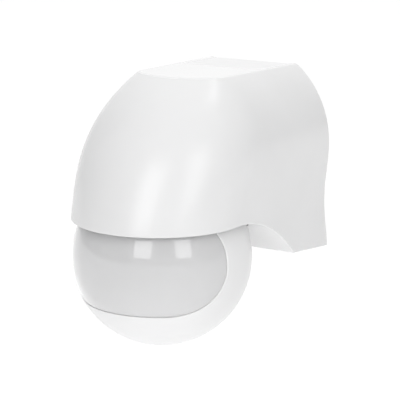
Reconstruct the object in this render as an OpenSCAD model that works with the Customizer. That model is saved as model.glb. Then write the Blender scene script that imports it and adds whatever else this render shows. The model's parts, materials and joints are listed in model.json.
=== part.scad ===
// Wall-mounted motion sensor: a hood on a base plate, with a ball head under it
// that turns on a vertical stem and tips on two pins. Millimetres, +Z up.
// The wall is the plane y = 0, the front faces -Y, and the origin is midway
// between the two wall screws. Ball parts are drawn about the ball's centre.

/* [Hood] */
// Half width of the hood at its widest level
hood_half_w = 32.05; // [31.8:0.05:32.3]
// Height of the widest level above the wall screws
widest_z = 4.8; // [4.4:0.1:5.2]
// Height of the flat top above the wall screws, at the wall
hood_top = 32.7; // [32.4:0.1:33]
// Slope of the flat top in degrees, rising to the front
top_slope = 1.06; // [0.8:0.02:1.3]
// Radius of the side walls where they lean in towards the top
side_r = 35; // [34.5:0.25:36]
// Half width at the waist
waist_half_w = 30.51; // [30.4:0.01:30.8]
// Drop from the widest level to the waist
waist_drop = 20.8; // [20:0.1:21.6]
// Radius of the front wall in side view
front_r = 77.35; // [77:0.05:78]
// Distance of that radius' axis from the wall
front_out = 17.79; // [17.4:0.01:18.2]
// Depth of that axis below the wall screws
front_drop = 30.04; // [29.6:0.01:30.4]
// Extra length of the nose at the top, over a true half circle
nose_stretch = 1.5; // [0:0.1:2]
// How much the nose gets shorter where it meets the flat top
nose_blunt = 6.1; // [5:0.1:7]
// How much the front falls back where it meets the flat top
front_blunt = 2.15; // [1.5:0.05:2.5]
// Wall thickness of the hood
hood_wall = 1.8; // [1.6:0.1:1.9]
// Level of the lower rim of the nose
rim_z = -14.4; // [-14.6:0.1:-14.2]
// Radius of the concave underside behind the ball
under_r = 48.2; // [47.8:0.1:48.6]
// Distance of the underside's axis from the wall
under_out = 61.2; // [60.8:0.1:61.6]
// Lowest level of the foot, at the wall
foot_z = -33.6; // [-33.8:0.1:-33.4]
// Slope of the foot's underside in degrees
foot_slope = 5.7; // [5:0.1:6.4]

/* [Head] */
// Radius of the ball head
ball_r = 31.2; // [31:0.05:31.3]
// Distance of the ball's centre from the wall
ball_out = 61.9; // [61.7:0.1:62.1]
// Depth of the ball's centre below the wall screws
ball_drop = 28; // [27.8:0.1:28.2]
// Wall thickness of the ball's two shells
ball_wall = 1.8; // [1.6:0.1:2]
// Distance of the parting plane behind the ball's centre
parting_y = 5; // [4.8:0.1:5.4]
// Distance of the lens window's rear edge ahead of the ball's centre
window_rear = 6.3; // [6:0.1:6.8]
// Height of the window's middle above the ball's centre
window_mid = 3.6; // [3.4:0.02:3.8]
// Half height of the lens window
window_half_h = 18.2; // [17.8:0.1:18.4]
// Corner radius of the lens window in side view
window_corner_r = 16.5; // [15:0.5:17.5]
// Depth of the lens below the ball's surface
lens_recess = 0.4; // [0.2:0.1:0.6]

/* [Swivel] */
// Radius of the hollow stem that the head turns on
stem_r = 6; // [5.8:0.1:6.2]
// Radius of the wire way through the stem
wireway_r = 3.6; // [3:0.1:3.8]
// Radius of the two tilt pins
pin_r = 2.5; // [2.2:0.1:2.7]
// Radial running clearance of the stem, the pins and the knob shafts
running = 0.05; // [0.02:0.01:0.08]

/* [Adjusters] */
// Distance between neighbouring adjuster knobs
knob_pitch = 11; // [10.8:0.1:11.2]
// Radius of an adjuster knob
knob_r = 3.25; // [3:0.05:3.4]

/* [Wall fixing] */
// Distance between the two wall screws
screw_pitch = 40; // [38:0.5:42]
// Radius of the wall screw holes
screw_hole_r = 2.25; // [2:0.05:2.4]
// Radius of the cable way through the grommet
cable_r = 3.5; // [2.5:0.1:4]
// Height of the cable way above the wall screws
cable_z = 13; // [12.5:0.1:13.5]

/* [Hidden] */
$fn = 64;

// Larger than the whole sensor, for cutting
far = 120;

// Hood loft: points round the nose, levels below and above the widest one
nose_steps = 30;
low_steps = 9;
high_steps = 14;
loft_bottom = -37;
loft_top = 34.6;
top_wall = 2;
blunt_z = 22;
blunt_h = 10.7;
waist_mid = (hood_half_w + waist_half_w) / 2;
waist_swing = (hood_half_w - waist_half_w) / 2;

// Underside: its axis is set so that the arc meets the rim without a step
under_z = rim_z + 0.1 - under_r;
floor_t = 2;
floor_half_w = 30;
foot_len = 30;
foot_pad_r = 4.6;
foot_pad_h = 2.9;
land_half_w = 15.5;
land_len = 24.3;
land_depth = 0.3;
land_corner = 6;

// Cup over the ball, inside the hood (levels above the ball's centre)
cup_r = 31.8;
cup_t = 1.4;
opening_gap = 0.8;
cup_plate_z = 17.5;
cup_plate_t = 1.5;
cup_plate_half_w = 28.2;
cup_wall_half_w = 28.3;
cup_rear = 28;
ear_x = 18.5;
ear_w = 8;
ear_h = 8.5;
ear_t = 1.8;
turret_r = 10.5;
turret_top = 36.8;
recess_r = 7.8;
recess_top = 32.4;

// Stem and yoke (levels above the ball's centre)
shoulder_r = 7.4;
shoulder_z = 31.2;
washer_z = 32;
washer_t = 0.3;
nut_z = 36.95;
nut_t = 2.25;
nut_r = 9;
thread_r = 5.4;
stem_bottom = 23.5;
stem_top = 39.8;
groove_r = 4.8;
groove_z = 33.9;
groove_h = 1.4;
yoke_r = 26.8;
yoke_t = 2.4;
yoke_half_w = 3.5;
boss_r = 4.2;
washer_inset = 0.2;
yoke_boss_in = 23;
yoke_boss_out = 26.9;
shell_boss_in = 27.3;
pin_in = 22.6;
pin_out = 29.8;
slot_half_w = 6.6;
slot_half_len = 17.2;

// Lens: clearance in the window, overlap of the flange behind the shell
lens_t = 1.2;
lens_gap = 0.15;
flange_lap = 1.6;
flange_in = 28.3;
flange_out = ball_r - ball_wall - 0.1;
frame_in = 27.6;
frame_out = 28.25;
frame_lip = 2.4;

// Boards in the ball (about the ball's centre)
board_t = 1.6;
sensor_board_y = parting_y;
sensor_board_half_w = 15.5;
sensor_board_low = -16.5;
sensor_board_high = 14;
sensor_screw = [13, -12];
sensor_boss_r = 2.8;
connector_z = 9;
led = [9, -4];
light_cell = [-9, -4];
chip_z = -12;
shell_screw = [19.5, -13];
shell_boss_r = 4.2;
screw_boss_r = 3;
screw_boss_len = 7;
screw_web_t = 2.4;
head_recess_r = 3.2;
head_recess_y = 10;
pocket_floor = -24;
pocket_half_w = 4;
tub_wall = 1.2;
tub_top = -22.6;
knob_y = -1;
knob_tip = -27;
trimmer_low = -22.4;
trimmer_high = -18.8;
trimmer_w = 7;
trimmer_bore = 2.8;
shaft_r = 1.5;
shaft_top = -20;
adjuster_screw_x = 5.5;
adjuster_post_r = 1.7;
adjuster_half_len = 15.5;
adjuster_rear = 2.6;
adjuster_front = 6.2;

// Base plate and what it carries (y values are distances from the wall)
base_gap = 0.3;
base_bottom = -30.4;
base_top = hood_top - top_wall - base_gap;
base_t = 2.4;
skirt_t = 1.6;
skirt_len = 9;
gasket_in = 2.4;
gasket_w = 2.2;
gasket_t = 1.2;
base_boss_r = 6;
base_boss_h = 5;
counterbore_r = 4.2;
cover_screw_x = 20;
cover_screw_y = 6;
cover_block_w = 7;
cover_block_h = 9;
hook_x = 10;
hook_w = 5;
hook_t = 1.5;
hook_z = 27.2;
hook_out = 13;
catch_w = 7;
catch_out = 10.9;
catch_z = 29.3;
grommet_flange_r = 7.4;
grommet_neck_r = 5.5;
grommet_pad_r = 10;
terminal_half_w = 12;
terminal_low = -21;
terminal_high = -9;
terminal_len = 12.6;
terminal_pitch = 7.5;
terminal_wire_y = 9.2;

// Power board
power_y = 24;
power_low = -0.5;
power_high = 26;
power_screw_low = [22.5, 3.5];
power_screw_high = [18.5, 21];
power_front = power_y + board_t;
power_block = [19.5, 15.5];
block_out = 36;
cup_screw = [22.5, -5.5];
cup_block = 19.5;
cup_block_out = 40;
pilot_r = 1.2;
stop_rib = [8, 2.2, 1.8];
stop_rib_out = 92;
relay_x = -15.2;
relay_w = 18;
relay_len = 15;
film_lead = [[6, 20.2], [14, 20.2]];
can_x = 12.3;
can_z = 10.8;
can_r = 5;
can_len = 14;
film_z = 17;
varistor_x = 17.6;
varistor_z = 12.6;
varistor_r = 4.2;
diode_pitch = 4.2;
diode_x = -13;
fuse_x = -18.5;
fuse_low = 8.2;
fuse_len = 9.1;
loom_x = 4.8;
loom_z = 4;

white = [0.93, 0.93, 0.94];
milky = [0.84, 0.85, 0.86];
steel = [0.72, 0.73, 0.75];
board_green = [0.10, 0.38, 0.22];
black = [0.08, 0.08, 0.09];

// ---- Outlines and lofts ----

// Half width of the hood at a level, measured t inside its outer surface
function half_w(z, t = 0) = z > widest_z
    ? hood_half_w - side_r + sqrt(pow(side_r - t, 2) - pow(z - widest_z, 2))
    : waist_mid + waist_swing * cos(180 * (z - widest_z) / waist_drop) - t;

// Grows from 0 to 1 over the levels where the nose gets blunt
function blunt(z) = pow(max(0, (z - blunt_z) / blunt_h), 2);

// Distance of the hood's front from the wall at a level
function front_depth(z, t = 0) = front_out + sqrt(pow(front_r - t, 2) - pow(z + front_drop, 2))
    - front_blunt * blunt(z);

// Length of the rounded nose at a level
function nose_len(z, t = 0) = half_w(z, t) - nose_blunt * blunt(z)
    + nose_stretch * pow(max(0, (z - widest_z) / (hood_top - widest_z)), 2);

// One level of the hood: straight sides from the wall and a rounded nose
function section(z, t, back) =
    let (w = half_w(z, t), n = nose_len(z, t), c = front_depth(z, t) - n)
    concat([[w, back, z]],
        [for (i = [0:nose_steps]) let (a = 180 * i / nose_steps) [w * cos(a), -c - n * sin(a), z]],
        [[-w, back, z]]);

function loft_levels(t, top) = concat(
    [for (i = [0:low_steps - 1]) loft_bottom + (widest_z - loft_bottom) * i / low_steps],
    [for (i = [0:high_steps]) let (a = i / high_steps * asin((top - widest_z) / (side_r - t)))
        widest_z + (side_r - t) * sin(a)]);

// Triangles that join rings of m points each, with a flat cap at both ends
function ring_faces(rings, m) = concat(
    [[for (j = [m - 1:-1:0]) j]],
    [[for (j = [0:m - 1]) (rings - 1) * m + j]],
    [for (i = [0:rings - 2], j = [0:m - 1], k = [0, 1])
        let (a = i * m + j, b = i * m + (j + 1) % m)
        k == 0 ? [a, b + m, a + m] : [a, b, b + m]]);

module hood_loft(t, top, back) {
    rings = [for (z = loft_levels(t, top)) section(z, t, back)];
    polyhedron(points = [for (r = rings) each r], faces = ring_faces(len(rings), len(rings[0])));
}

// Outline of a flat part that fits in the hood, seen from the front
module hood_outline(inset, low, high, steps = 14) {
    side = [for (i = [0:steps]) let (z = low + (high - low) * i / steps) [half_w(z, inset), z]];
    polygon(concat(side, [for (i = [steps:-1:0]) [-side[i][0], side[i][1]]]));
}

// ---- Placing and small shapes ----

module in_ball() translate([0, -ball_out, -ball_drop]) children();

// Extrudes an outline seen from the front, from one distance from the wall to another
module from_wall(near, out)
    translate([0, -near, 0]) rotate([90, 0, 0]) linear_extrude(out - near) children();

// Cylinder that runs towards the front from a point
module rod_y(p, len, r) translate(p) rotate([90, 0, 0]) cylinder(r = r, h = len);

// Cylinder that runs sideways from a point
module rod_x(p, len, r) translate(p) rotate([0, 90, 0]) cylinder(r = r, h = len);

module both_sides() {
    children();
    mirror([1, 0, 0]) children();
}

// Pan head screw along +Z with its head below zero
module pan_screw(shank_r, shank_len, head_r, head_h) difference() {
    union() {
        cylinder(r = shank_r, h = shank_len);
        translate([0, 0, -head_h]) cylinder(r1 = head_r * 0.8, r2 = head_r, h = head_h);
    }
    for (a = [0, 90])
        rotate(a) translate([-head_r * 0.5, -head_r * 0.12, -head_h - 1])
            cube([head_r, head_r * 0.24, 1 + head_h * 0.55]);
}

function unit(v) = v / norm(v);

// Point on a Catmull-Rom curve through p, at position s from 0 to 1
function curve_at(p, s) =
    let (last = len(p) - 1, k = min(floor(s * last), last - 1), u = s * last - k,
        a = p[max(k - 1, 0)], b = p[k], c = p[k + 1], d = p[min(k + 2, last)])
    0.5 * (2 * b + (c - a) * u + (2 * a - 5 * b + 4 * c - d) * u * u + (3 * b - a - 3 * c + d) * u * u * u);

// Round wire swept along a curve through p, never running along X
module wire(p, r, steps = 20, sides = 10) {
    line = [for (i = [0:steps]) curve_at(p, i / steps)];
    rings = [for (i = [0:steps])
        let (t = unit(line[min(i + 1, steps)] - line[max(i - 1, 0)]), u = unit([1, 0, 0] - t[0] * t),
            v = cross(t, u))
        [for (j = [0:sides - 1]) line[i] - r * cos(360 * j / sides) * u + r * sin(360 * j / sides) * v]];
    polyhedron(points = [for (ring = rings) each ring], faces = ring_faces(steps + 1, sides));
}

// ---- Housing ----

module under_cylinder(grow) rod_x([-far, -under_out, under_z], 2 * far, under_r + grow);

// Slab parallel to the foot's underside, between two distances above it
module foot_slab(low, high, half_w, behind_wall)
    translate([0, 0, foot_z]) rotate([-foot_slope, 0, 0]) translate([-half_w, -far / 2, low])
        cube([2 * half_w, far / 2 + behind_wall, high - low]);

// Everything below the hood: ahead of the ball's axis, the concave part and under the foot
module below_hood() {
    translate([-far, -2 * far, rim_z - far]) cube([2 * far, 2 * far - under_out, far]);
    under_cylinder(0);
    foot_slab(-far / 2, 0, far, 20);
}

// Floor of the hood: the concave part behind the ball and the underside of the foot
module hood_floor() difference() {
    union() {
        intersection() {
            under_cylinder(floor_t);
            translate([-floor_half_w, -under_out, foot_z]) cube([2 * floor_half_w, under_out, -foot_z]);
        }
        intersection() {
            foot_slab(0, floor_t, floor_half_w, 0);
            translate([-far, -foot_len, -far]) cube([2 * far, foot_len, 2 * far]);
        }
        both_sides() translate([cover_screw_x, -cover_screw_y, foot_z])
            cylinder(r = foot_pad_r, h = foot_pad_h);
    }
    in_ball() sphere(ball_r + opening_gap);
}

// Block on the inside of a side wall that takes a screw from the rear
module wall_block(in_x, mid_z, near, out, half_h = 3)
    translate([in_x, -out, mid_z - half_h])
        cube([min(half_w(mid_z - half_h), half_w(mid_z + half_h)) - 0.8 - in_x, out - near, 2 * half_h]);

module hood() color(white) difference() {
    union() {
        difference() {
            hood_loft(0, loft_top, 0);
            hood_loft(hood_wall, hood_top - top_wall, 5);
        }
        hood_floor();
        both_sides() {
            wall_block(power_block[0], power_screw_low[1], power_front, block_out);
            wall_block(power_block[1], power_screw_high[1], power_front, block_out);
            wall_block(cup_block, cup_screw[1], cup_rear + ear_t, cup_block_out);
            translate([hook_x - catch_w / 2, -catch_out, catch_z]) cube([catch_w, hook_t, 1.9]);
        }
        translate([-stop_rib[0] / 2, -stop_rib_out, rim_z + hood_wall]) cube(stop_rib);
    }
    below_hood();
    on_top() {
        translate([-far, -far, 0]) cube([2 * far, 2 * far, far]);
        translate([0, 0, -land_depth]) linear_extrude(2) land();
    }
    both_sides() {
        translate([cover_screw_x, -cover_screw_y, -far]) cylinder(r = 1.7, h = far);
        translate([cover_screw_x, -cover_screw_y, -far + foot_z + floor_t])
            cylinder(r = head_recess_r, h = far);
        for (s = [power_screw_low, power_screw_high])
            rod_y([s[0], -power_front + 1, s[1]], 9, pilot_r);
        rod_y([cup_screw[0], -cup_rear, cup_screw[1]], 9.8, pilot_r);
    }
}

// Places a child on the flat top, with the middle of its rear edge as origin
module on_top() translate([0, 0, hood_top]) rotate([-top_slope, 0, 0]) children();

// Knock-out land on the top, with rounded front corners
module land() {
    translate([-land_half_w, -land_len + land_corner]) square([2 * land_half_w, land_len]);
    translate([-land_half_w + land_corner, -land_len]) square([2 * (land_half_w - land_corner), land_len]);
    for (s = [-1, 1])
        translate([s * (land_half_w - land_corner), -land_len + land_corner]) circle(r = land_corner);
}

module base_plate() color(white) difference() {
    fit = hood_wall + base_gap;
    union() {
        from_wall(0, base_t) hood_outline(fit, base_bottom, base_top);
        from_wall(base_t, skirt_len) difference() {
            hood_outline(fit, base_bottom, base_top);
            hood_outline(fit + skirt_t, base_bottom + skirt_t, base_top - skirt_t);
        }
        both_sides() {
            rod_y([screw_pitch / 2, 0, 0], base_boss_h, base_boss_r);
            translate([cover_screw_x - cover_block_w / 2, -skirt_len, base_bottom])
                cube([cover_block_w, skirt_len, cover_block_h]);
            translate([hook_x - hook_w / 2, -hook_out, hook_z]) {
                cube([hook_w, 6, 1.8]);
                cube([hook_w, hook_t, 2.9]);
            }
        }
        rod_y([0, 0, cable_z], base_t, grommet_pad_r);
    }
    both_sides() {
        rod_y([screw_pitch / 2, 1, 0], 10, screw_hole_r);
        rod_y([screw_pitch / 2, -3, 0], 10, counterbore_r);
        translate([cover_screw_x, -cover_screw_y, base_bottom - 1]) cylinder(r = 1.25, h = 9.2);
    }
    rod_y([0, 1, cable_z], 10, grommet_neck_r);
    rod_y([0, 1, cable_z], 2, grommet_flange_r);
    gasket_ring();
}

module gasket_ring() from_wall(0, gasket_t) difference() {
    i = hood_wall + base_gap + gasket_in;
    hood_outline(i, base_bottom + gasket_in, base_top - gasket_in);
    hood_outline(i + gasket_w, base_bottom + gasket_in + gasket_w, base_top - gasket_in - gasket_w);
}

module rear_gasket() color(black) gasket_ring();

module cable_grommet() color(black) difference() {
    union() {
        rod_y([0, 0, cable_z], 1, grommet_flange_r);
        rod_y([0, 0, cable_z], base_t + 0.5, grommet_neck_r);
        rod_y([0, -base_t, cable_z], 2, grommet_flange_r);
        translate([0, -base_t - 2, cable_z]) rotate([90, 0, 0]) cylinder(r1 = 6.2, r2 = 5, h = 2.6);
    }
    rod_y([0, 1, cable_z], 12, cable_r);
}

module cover_screws() color(steel) both_sides()
    translate([cover_screw_x, -cover_screw_y, foot_z + floor_t]) pan_screw(1.25, 9, 2.7, 1.5);

module ball_cup() color(white) difference() {
    union() {
        in_ball() {
            intersection() {
                sphere(cup_r + cup_t);
                union() {
                    translate([-far, -far, cup_plate_z]) cube([2 * far, 2 * far, far]);
                    translate([-cup_wall_half_w, 0, 0]) cube([2 * cup_wall_half_w, far, cup_plate_z + 1]);
                }
            }
            cylinder(r = turret_r, h = turret_top);
            translate([0, 0, cup_plate_z]) {
                cylinder(r = cup_plate_half_w, h = cup_plate_t);
                translate([-cup_plate_half_w, 0, 0])
                    cube([2 * cup_plate_half_w, ball_out - cup_rear, cup_plate_t]);
            }
        }
        both_sides() translate([ear_x, -cup_rear - ear_t, -ball_drop + cup_plate_z])
            cube([ear_w, ear_t, ear_h]);
    }
    in_ball() {
        sphere(cup_r);
        cylinder(r = recess_r, h = recess_top);
        cylinder(r = stem_r + running, h = far);
    }
    under_cylinder(floor_t + 0.3);
    both_sides() rod_y([cup_screw[0], -cup_rear + 1, cup_screw[1]], 5, 1.5);
}

module cup_screws() color(steel) both_sides()
    translate([cup_screw[0], -cup_rear, cup_screw[1]]) rotate([90, 0, 0]) pan_screw(1.2, 8, 2.4, 1.5);

// ---- Power board ----

module power_board() color(board_green) difference() {
    from_wall(power_y, power_front) hood_outline(hood_wall + 1, power_low, power_high);
    both_sides() for (s = [power_screw_low, power_screw_high])
        rod_y([s[0], 0, s[1]], far, 1.5);
    for (p = film_lead)
        rod_y([p[0], 0, p[1]], far, 0.5);
}

module power_board_screws() color(steel) both_sides()
    for (s = [power_screw_low, power_screw_high])
        translate([s[0], -power_y, s[1]]) rotate([90, 0, 0]) pan_screw(1.2, 9, 2.4, 1.5);

// A box that stands on the power board's front face
module on_board(x, z, w, h, len) translate([x, -power_front - len, z]) cube([w, len, h]);

module relay() color([0.15, 0.25, 0.45]) difference() {
    on_board(relay_x, 8, relay_w, 15.5, relay_len);
    translate([relay_x - 1, -power_front - 1, 7]) cube([relay_w + 2, 0.6, 1.8]);
    rod_y([relay_x + 1.5, -power_front - relay_len + 0.5, 21.9], 2, 0.6);
}

module film_capacitor() color([0.75, 0.55, 0.15]) union() {
    on_board(film_lead[0][0] - 1, film_z, 10, 6.5, 12);
    for (p = film_lead)
        rod_y([p[0], -power_y + 1.2, p[1]], board_t + 2, 0.35);
}

module smoothing_capacitor() color([0.12, 0.12, 0.3])
    translate([can_x, -power_front, can_z]) rotate([90, 0, 0]) difference() {
        cylinder(r = can_r, h = can_len);
        translate([0, 0, can_len - 0.4]) cylinder(r = can_r - 0.8, h = 2);
        translate([0, 0, 1.6]) rotate_extrude() translate([can_r + 0.15, 0]) circle(r = 0.5);
    }

module varistor() color([0.1, 0.3, 0.6]) union() {
    rod_x([varistor_x, -power_front - 5.2, varistor_z], 2.4, varistor_r);
    for (y = [3, 7.4])
        translate([varistor_x + 1.2, -power_front - y, varistor_z - 3.2]) cylinder(r = 0.3, h = 3.4);
}

module fuse() color([0.8, 0.78, 0.7]) translate([fuse_x, -power_front, fuse_low]) {
    translate([0, -2, 0.3]) cylinder(r = 1.5, h = fuse_len - 0.6);
    for (z = [0, fuse_len - 1.3])
        translate([0, -2, z]) cylinder(r = 1.8, h = 1.3);
    for (z = [0.6, fuse_len - 0.6])
        rod_y([0, 0, z], 2, 0.35);
}

module rectifier_diodes() color(black) for (i = [0:3]) {
    translate([diode_x + diode_pitch * i, -power_front - 1.5, 1.2]) cylinder(r = 1.2, h = 4.6);
    for (z = [0.4, 5.7])
        translate([diode_x + diode_pitch * i, -power_front - 1.5, z]) cylinder(r = 0.35, h = 0.9);
}

module board_connectors() color([0.9, 0.9, 0.85]) {
    difference() {
        on_board(loom_x - 3.2, loom_z - 3, 6.4, 6, 5.5);
        rod_y([loom_x, -power_front - 1.5, loom_z], 6, 1.9);
    }
    difference() {
        translate([-13.5, -power_y, 4]) cube([27, 6, 7]);
        for (x = [-9, 0, 9])
            translate([x, -power_y + 3, 3]) cylinder(r = 1.3, h = 5);
    }
}

module terminal_block() color([0.2, 0.2, 0.22]) difference() {
    translate([-terminal_half_w, -base_t - terminal_len, terminal_low])
        cube([2 * terminal_half_w, terminal_len, terminal_high - terminal_low]);
    for (i = [-1:1]) {
        rod_y([i * terminal_pitch, -base_t - terminal_len + 5, -15], 6, 2.4);
        translate([i * terminal_pitch, -terminal_wire_y, terminal_high - 6]) cylinder(r = 1.3, h = 7);
        translate([i * terminal_pitch, -terminal_wire_y, terminal_low - 1])
            cylinder(r1 = 2.6, r2 = 1.6, h = 4);
    }
    for (i = [-0.5, 0.5])
        translate([i * terminal_pitch - 0.4, -base_t - terminal_len - 1, terminal_low - 1])
            cube([0.8, 4, 14]);
}

module terminal_screws() color([0.8, 0.7, 0.35]) for (i = [-1:1])
    difference() {
        rod_y([i * terminal_pitch, -base_t - terminal_len + 4.6, -15], 3.6, 2.1);
        translate([i * terminal_pitch - 3, -base_t - terminal_len, -15.3]) cube([6, 2, 0.6]);
    }

// Three supply wires from the terminals to the connector on the power board
module supply_wires() {
    shades = ["saddlebrown", "royalblue", "red"];
    for (i = [-1:1])
        color(shades[i + 1])
            wire([[i * terminal_pitch, -terminal_wire_y, -14], [i * terminal_pitch, -terminal_wire_y, -8],
                [i * 8, -12, -3.5],
                [i * 9, -18, -2.5], [i * 9, -21, 2], [i * 9, -21, 7]], 1.05);
}

// Sleeved leads from the power board over the nut to the stem
module sensor_loom() color([0.75, 0.75, 0.72])
    wire([[loom_x, -28, loom_z], [loom_x, -34, loom_z + 0.3], [5.4, -42, 10], [3, -51, 16], [0.6, -58, 19],
        [0, -ball_out, 17], [0, -ball_out, 12.8]], 1.6, 28);

// ---- Swivel ----

module yoke() color([0.85, 0.85, 0.86]) in_ball() difference() {
    union() {
        intersection() {
            translate([0, yoke_half_w, 0]) rotate([90, 0, 0]) difference() {
                cylinder(r = yoke_r, h = 2 * yoke_half_w);
                translate([0, 0, -1]) cylinder(r = yoke_r - yoke_t, h = 2 * yoke_half_w + 2);
            }
            translate([-far / 2, -far / 2, 0]) cube([far, far, far]);
        }
        both_sides() rod_x([yoke_boss_in, 0, 0], yoke_boss_out - yoke_boss_in, boss_r);
        translate([0, 0, stem_bottom]) cylinder(r = stem_r, h = nut_z - stem_bottom);
        translate([0, 0, stem_bottom]) cylinder(r = thread_r, h = stem_top - stem_bottom);
        translate([0, 0, shoulder_z]) cylinder(r = shoulder_r, h = washer_z - shoulder_z);
    }
    translate([0, 0, stem_bottom - 1]) cylinder(r = wireway_r, h = far);
    both_sides() rod_x([yoke_boss_in - 1, 0, 0], 6, pin_r + running);
    translate([0, 0, groove_z]) difference() {
        cylinder(r = stem_r + 1, h = groove_h);
        translate([0, 0, -1]) cylinder(r = groove_r, h = groove_h + 2);
    }
}

module friction_washer() color([0.9, 0.85, 0.6]) in_ball() translate([0, 0, washer_z]) difference() {
    cylinder(r = shoulder_r, h = washer_t);
    translate([0, 0, -1]) cylinder(r = stem_r, h = washer_t + 2);
}

module retaining_nut() color(steel) in_ball() translate([0, 0, nut_z]) difference() {
    cylinder(r = nut_r, h = nut_t, $fn = 6);
    translate([0, 0, -1]) cylinder(r = thread_r, h = nut_t + 2);
}

module o_ring() color(black) in_ball() translate([0, 0, groove_z + groove_h / 2])
    rotate_extrude() translate([(groove_r + stem_r) / 2, 0]) circle(r = (stem_r - groove_r) / 2);

module sensor_leads() in_ball() for (i = [0:3])
    color(["red", "black", "gold", "white"][i])
        rotate(90 * i + 45) translate([1.6, 0, 17.5]) cylinder(r = 0.95, h = 22.8);

// ---- Head ----

// Lens window: an outline in side view cut straight across the ball, grown by d
module window(d) rotate([90, 0, 90]) linear_extrude(2 * far, center = true) {
    flat = window_half_h - window_corner_r;
    corner_y = -window_rear - window_corner_r;
    translate([-far, window_mid - window_half_h - d]) square([far + corner_y, 2 * (window_half_h + d)]);
    translate([-far, window_mid - flat]) square([far - window_rear + d, 2 * flat]);
    for (s = [-1, 1])
        translate([corner_y, window_mid + s * flat]) circle(r = window_corner_r + d);
}

module ball_shell(outer, inner) difference() {
    sphere(outer);
    sphere(inner);
}

module ahead_of(y) translate([-far, y - far, -far]) cube([2 * far, far, 2 * far]);

module behind(y) translate([-far, y, -far]) cube([2 * far, far, 2 * far]);

module stem_slot()
    translate([-slot_half_w, -slot_half_len, 12]) cube([2 * slot_half_w, 2 * slot_half_len, 30]);

// Oblong that holds the three knobs, seen from below
module knob_oblong(half_len, half_w, low, high) translate([0, knob_y, low]) {
    translate([-half_len + half_w, -half_w, 0]) cube([2 * (half_len - half_w), 2 * half_w, high - low]);
    for (s = [-1, 1])
        translate([s * (half_len - half_w), 0, 0]) cylinder(r = half_w, h = high - low);
}

module front_shell() color(white) in_ball() difference() {
    intersection() {
        sphere(ball_r);
        ahead_of(parting_y);
        union() {
            ball_shell(ball_r + 1, ball_r - ball_wall);
            both_sides() {
                rod_x([shell_boss_in, 0, 0], 4, boss_r);
                rod_y([shell_screw[0], parting_y + 1, shell_screw[1]], screw_boss_len + 1, screw_boss_r);
                rotate([0, atan2(-shell_screw[1], shell_screw[0]), 0])
                    translate([norm(shell_screw), parting_y - screw_boss_len + 1, -screw_web_t / 2])
                        cube([ball_r - ball_wall / 3 - norm(shell_screw), screw_boss_len, screw_web_t]);
            }
            knob_oblong(knob_pitch + pocket_half_w + tub_wall, pocket_half_w + tub_wall, -31, tub_top);
            for (s = [-1, 1])
                translate([s * adjuster_screw_x, knob_y, tub_top - 1])
                    cylinder(r = adjuster_post_r, h = trimmer_high - tub_top + 1);
        }
    }
    window(0);
    stem_slot();
    both_sides() {
        rod_x([shell_boss_in - 1, 0, 0], pin_out - shell_boss_in + 1, pin_r);
        rod_y([shell_screw[0], parting_y + 1, shell_screw[1]], 7, 1.1);
    }
    knob_oblong(knob_pitch + pocket_half_w, pocket_half_w, -40, pocket_floor);
    for (i = [-1:1])
        translate([i * knob_pitch, knob_y, -30]) cylinder(r = shaft_r + running, h = 10);
    for (s = [-1, 1])
        translate([s * adjuster_screw_x, knob_y, trimmer_high - 3]) cylinder(r = 0.8, h = 5);
}

module rear_shell() color(white) in_ball() difference() {
    intersection() {
        sphere(ball_r);
        behind(parting_y);
        union() {
            ball_shell(ball_r + 1, ball_r - ball_wall);
            both_sides() {
                rod_y([shell_screw[0], far / 2, shell_screw[1]], far, shell_boss_r);
                rod_y([sensor_screw[0], far / 2, sensor_screw[1]], far, sensor_boss_r);
            }
        }
    }
    stem_slot();
    both_sides() {
        rod_y([shell_screw[0], far / 2, shell_screw[1]], far, 1.4);
        rod_y([shell_screw[0], far / 2, shell_screw[1]], far / 2 - head_recess_y, head_recess_r - 0.1);
        rod_y([sensor_screw[0], parting_y + 8, sensor_screw[1]], 9, 0.9);
    }
}

module shell_screws() color(steel) in_ball() both_sides()
    translate([shell_screw[0], head_recess_y, shell_screw[1]])
        rotate([90, 0, 0]) pan_screw(1.1, 10.5, 2.7, 1.6);

module lens() color(milky) in_ball() {
    outer = ball_r - lens_recess;
    difference() {
        union() {
            intersection() {
                ball_shell(outer, outer - lens_t);
                window(-lens_gap);
            }
            intersection() {
                ball_shell(flange_out, flange_in);
                window(flange_lap);
            }
            intersection() {
                ball_shell(outer - 0.2, flange_in + 0.2);
                window(-lens_gap);
            }
        }
        intersection() {
            sphere(outer - lens_t);
            window(-2);
        }
    }
}

module lens_frame() color(milky) in_ball() difference() {
    intersection() {
        ball_shell(frame_out, frame_in);
        window(flange_lap);
    }
    window(-frame_lip);
}

module sensor_board() color(board_green) in_ball() difference() {
    translate([-sensor_board_half_w, sensor_board_y - board_t, sensor_board_low])
        cube([2 * sensor_board_half_w, board_t, sensor_board_high - sensor_board_low]);
    both_sides() rod_y([sensor_screw[0], far / 2, sensor_screw[1]], far, 1.1);
}

module sensor_board_screws() color(steel) in_ball() both_sides()
    translate([sensor_screw[0], sensor_board_y - board_t, sensor_screw[1]])
        rotate([-90, 0, 0]) pan_screw(0.9, 7, 1.8, 1.2);

// Front face of the sensor board, measured from the ball's centre
front_face = sensor_board_y - board_t;

module pir_sensor() color([0.8, 0.78, 0.7]) in_ball() difference() {
    union() {
        rod_y([0, front_face, window_mid], 0.8, 4.6);
        rod_y([0, front_face, window_mid], 4.4, 4.1);
    }
    translate([-2, front_face - 5, window_mid - 1.5]) cube([4, 1.4, 3]);
}

module ir_filter() color([0.12, 0.1, 0.1]) in_ball()
    translate([-2, front_face - 4.4, window_mid - 1.5]) cube([4, 0.8, 3]);

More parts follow.
